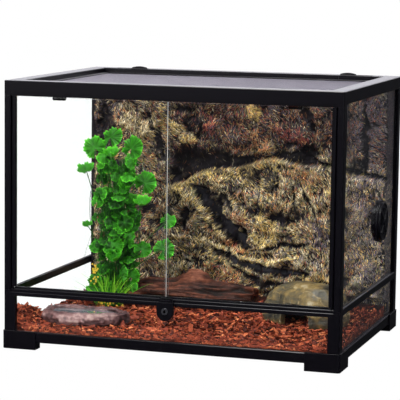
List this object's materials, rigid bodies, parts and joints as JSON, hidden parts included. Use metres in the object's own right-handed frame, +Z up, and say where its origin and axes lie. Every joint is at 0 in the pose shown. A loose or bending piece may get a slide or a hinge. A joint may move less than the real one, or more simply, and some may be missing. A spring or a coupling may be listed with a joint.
{
  "type": "glass terrarium",
  "caption": "Front-opening glass terrarium with a black frame, hinged doors, lift-off mesh lid, side vent port and a planted rock interior",
  "frame": {"origin": "centre of the tank's footprint, on the surface that the feet stand on", "axes": "+X to the viewer's right along the doors, +Y from the doors to the rear glass, +Z up"},
  "size_m": [0.6161, 0.468, 0.4765],
  "materials": {
    "frame_plastic": "satin black moulded plastic",
    "glass": "clear float glass",
    "clear_seal": "clear soft strip",
    "lock_metal": "black plated lock barrel",
    "mesh_metal": "fine dark wire mesh",
    "port_plastic": "black moulded plastic",
    "rock_foam": "painted foam rock relief",
    "bark": "red-brown bark chips",
    "dish_rock": "cast resin rock",
    "water": "still water",
    "hide_rock": "cast resin rock, olive grey",
    "driftwood": "weathered wood",
    "plant_brown": "moulded base",
    "plant_stem": "green plastic stem",
    "plant_leaf": "green fabric and plastic leaf"
  },
  "bodies": {
    "tank": {"bottom_frame": "frame_plastic", "foot_front_left": "frame_plastic", "foot_front_right": "frame_plastic", "foot_rear_left": "frame_plastic", "foot_rear_right": "frame_plastic", "base_glass": "glass", "lower_glass_front": "glass", "lower_glass_rear": "glass", "lower_glass_left": "glass", "lower_glass_right": "glass", "lower_post_front_left": "frame_plastic", "lower_post_front_right": "frame_plastic", "lower_post_rear_left": "frame_plastic", "lower_post_rear_right": "frame_plastic", "mid_rail_front": "frame_plastic", "mid_rail_rear": "frame_plastic", "mid_rail_left": "frame_plastic", "mid_rail_right": "frame_plastic", "upper_post_front_left": "frame_plastic", "upper_post_front_right": "frame_plastic", "upper_post_rear_left": "frame_plastic", "upper_post_rear_right": "frame_plastic", "side_glass_left": "glass", "side_glass_right": "glass", "rear_glass": "glass", "top_frame": "frame_plastic", "door_header": "frame_plastic", "latch_housing": "frame_plastic", "inlet_block_left": "frame_plastic", "inlet_block_right": "frame_plastic", "port_flange": "frame_plastic", "port_nut": "frame_plastic", "rock_background": "rock_foam", "bark_substrate": "bark", "water_dish": "dish_rock", "dish_water": "water", "hide_cave": "hide_rock", "driftwood": "driftwood", "plant_base": "plant_brown", "plant_stems": "plant_stem", "plant_leaves": "plant_leaf"},
    "left_door": {"left_door_glass": "glass", "left_door_stile": "frame_plastic", "left_door_seal": "clear_seal"},
    "right_door": {"right_door_glass": "glass", "right_door_stile": "frame_plastic"},
    "lock_barrel": {"latch_knob": "lock_metal"},
    "lock_bolt": {"latch_bolt": "frame_plastic"},
    "lid": {"lid_frame": "frame_plastic", "lid_mesh": "mesh_metal"},
    "left_lid_clip": {"lid_clip_left": "frame_plastic"},
    "right_lid_clip": {"lid_clip_right": "frame_plastic"},
    "left_gate": {"inlet_gate_left": "frame_plastic"},
    "right_gate": {"inlet_gate_right": "frame_plastic"},
    "vent_shutter": {"port_shutter": "port_plastic"}
  },
  "joints": [
    {"name": "left_door_hinge", "type": "hinge", "parent": "tank", "child": "left_door", "pos_m": [-0.2868, -0.2232, 0.27], "axis": [0, 0, -1], "range_deg": [0, 105]},
    {"name": "right_door_hinge", "type": "hinge", "parent": "tank", "child": "right_door", "pos_m": [0.2868, -0.2232, 0.27], "axis": [0, 0, 1], "range_deg": [0, 105]},
    {"name": "barrel_turn", "type": "hinge", "parent": "tank", "child": "lock_barrel", "pos_m": [-0.0025, -0.234, 0.086], "axis": [0, 1, 0], "range_deg": [0, 90]},
    {"name": "bolt_slide", "type": "slide", "parent": "tank", "child": "lock_bolt", "axis": [0, 0, 1], "range_m": [0, 0.006]},
    {"name": "lid_lift", "type": "slide", "parent": "tank", "child": "lid", "axis": [0, 0, 1], "range_m": [0, 0.15]},
    {"name": "left_clip_turn", "type": "hinge", "parent": "lid", "child": "left_lid_clip", "pos_m": [-0.212, -0.1965, 0.46175], "axis": [-1, 0, 0], "range_deg": [0, 13]},
    {"name": "right_clip_turn", "type": "hinge", "parent": "lid", "child": "right_lid_clip", "pos_m": [0.212, -0.1965, 0.46175], "axis": [-1, 0, 0], "range_deg": [0, 13]},
    {"name": "left_gate_slide", "type": "slide", "parent": "tank", "child": "left_gate", "axis": [-1, 0, 0], "range_m": [0, 0.029]},
    {"name": "right_gate_slide", "type": "slide", "parent": "tank", "child": "right_gate", "axis": [1, 0, 0], "range_m": [0, 0.029]},
    {"name": "shutter_turn", "type": "hinge", "parent": "tank", "child": "vent_shutter", "pos_m": [0.305, 0.082, 0.218], "axis": [1, 0, 0], "range_deg": [0, 45]}
  ]
}
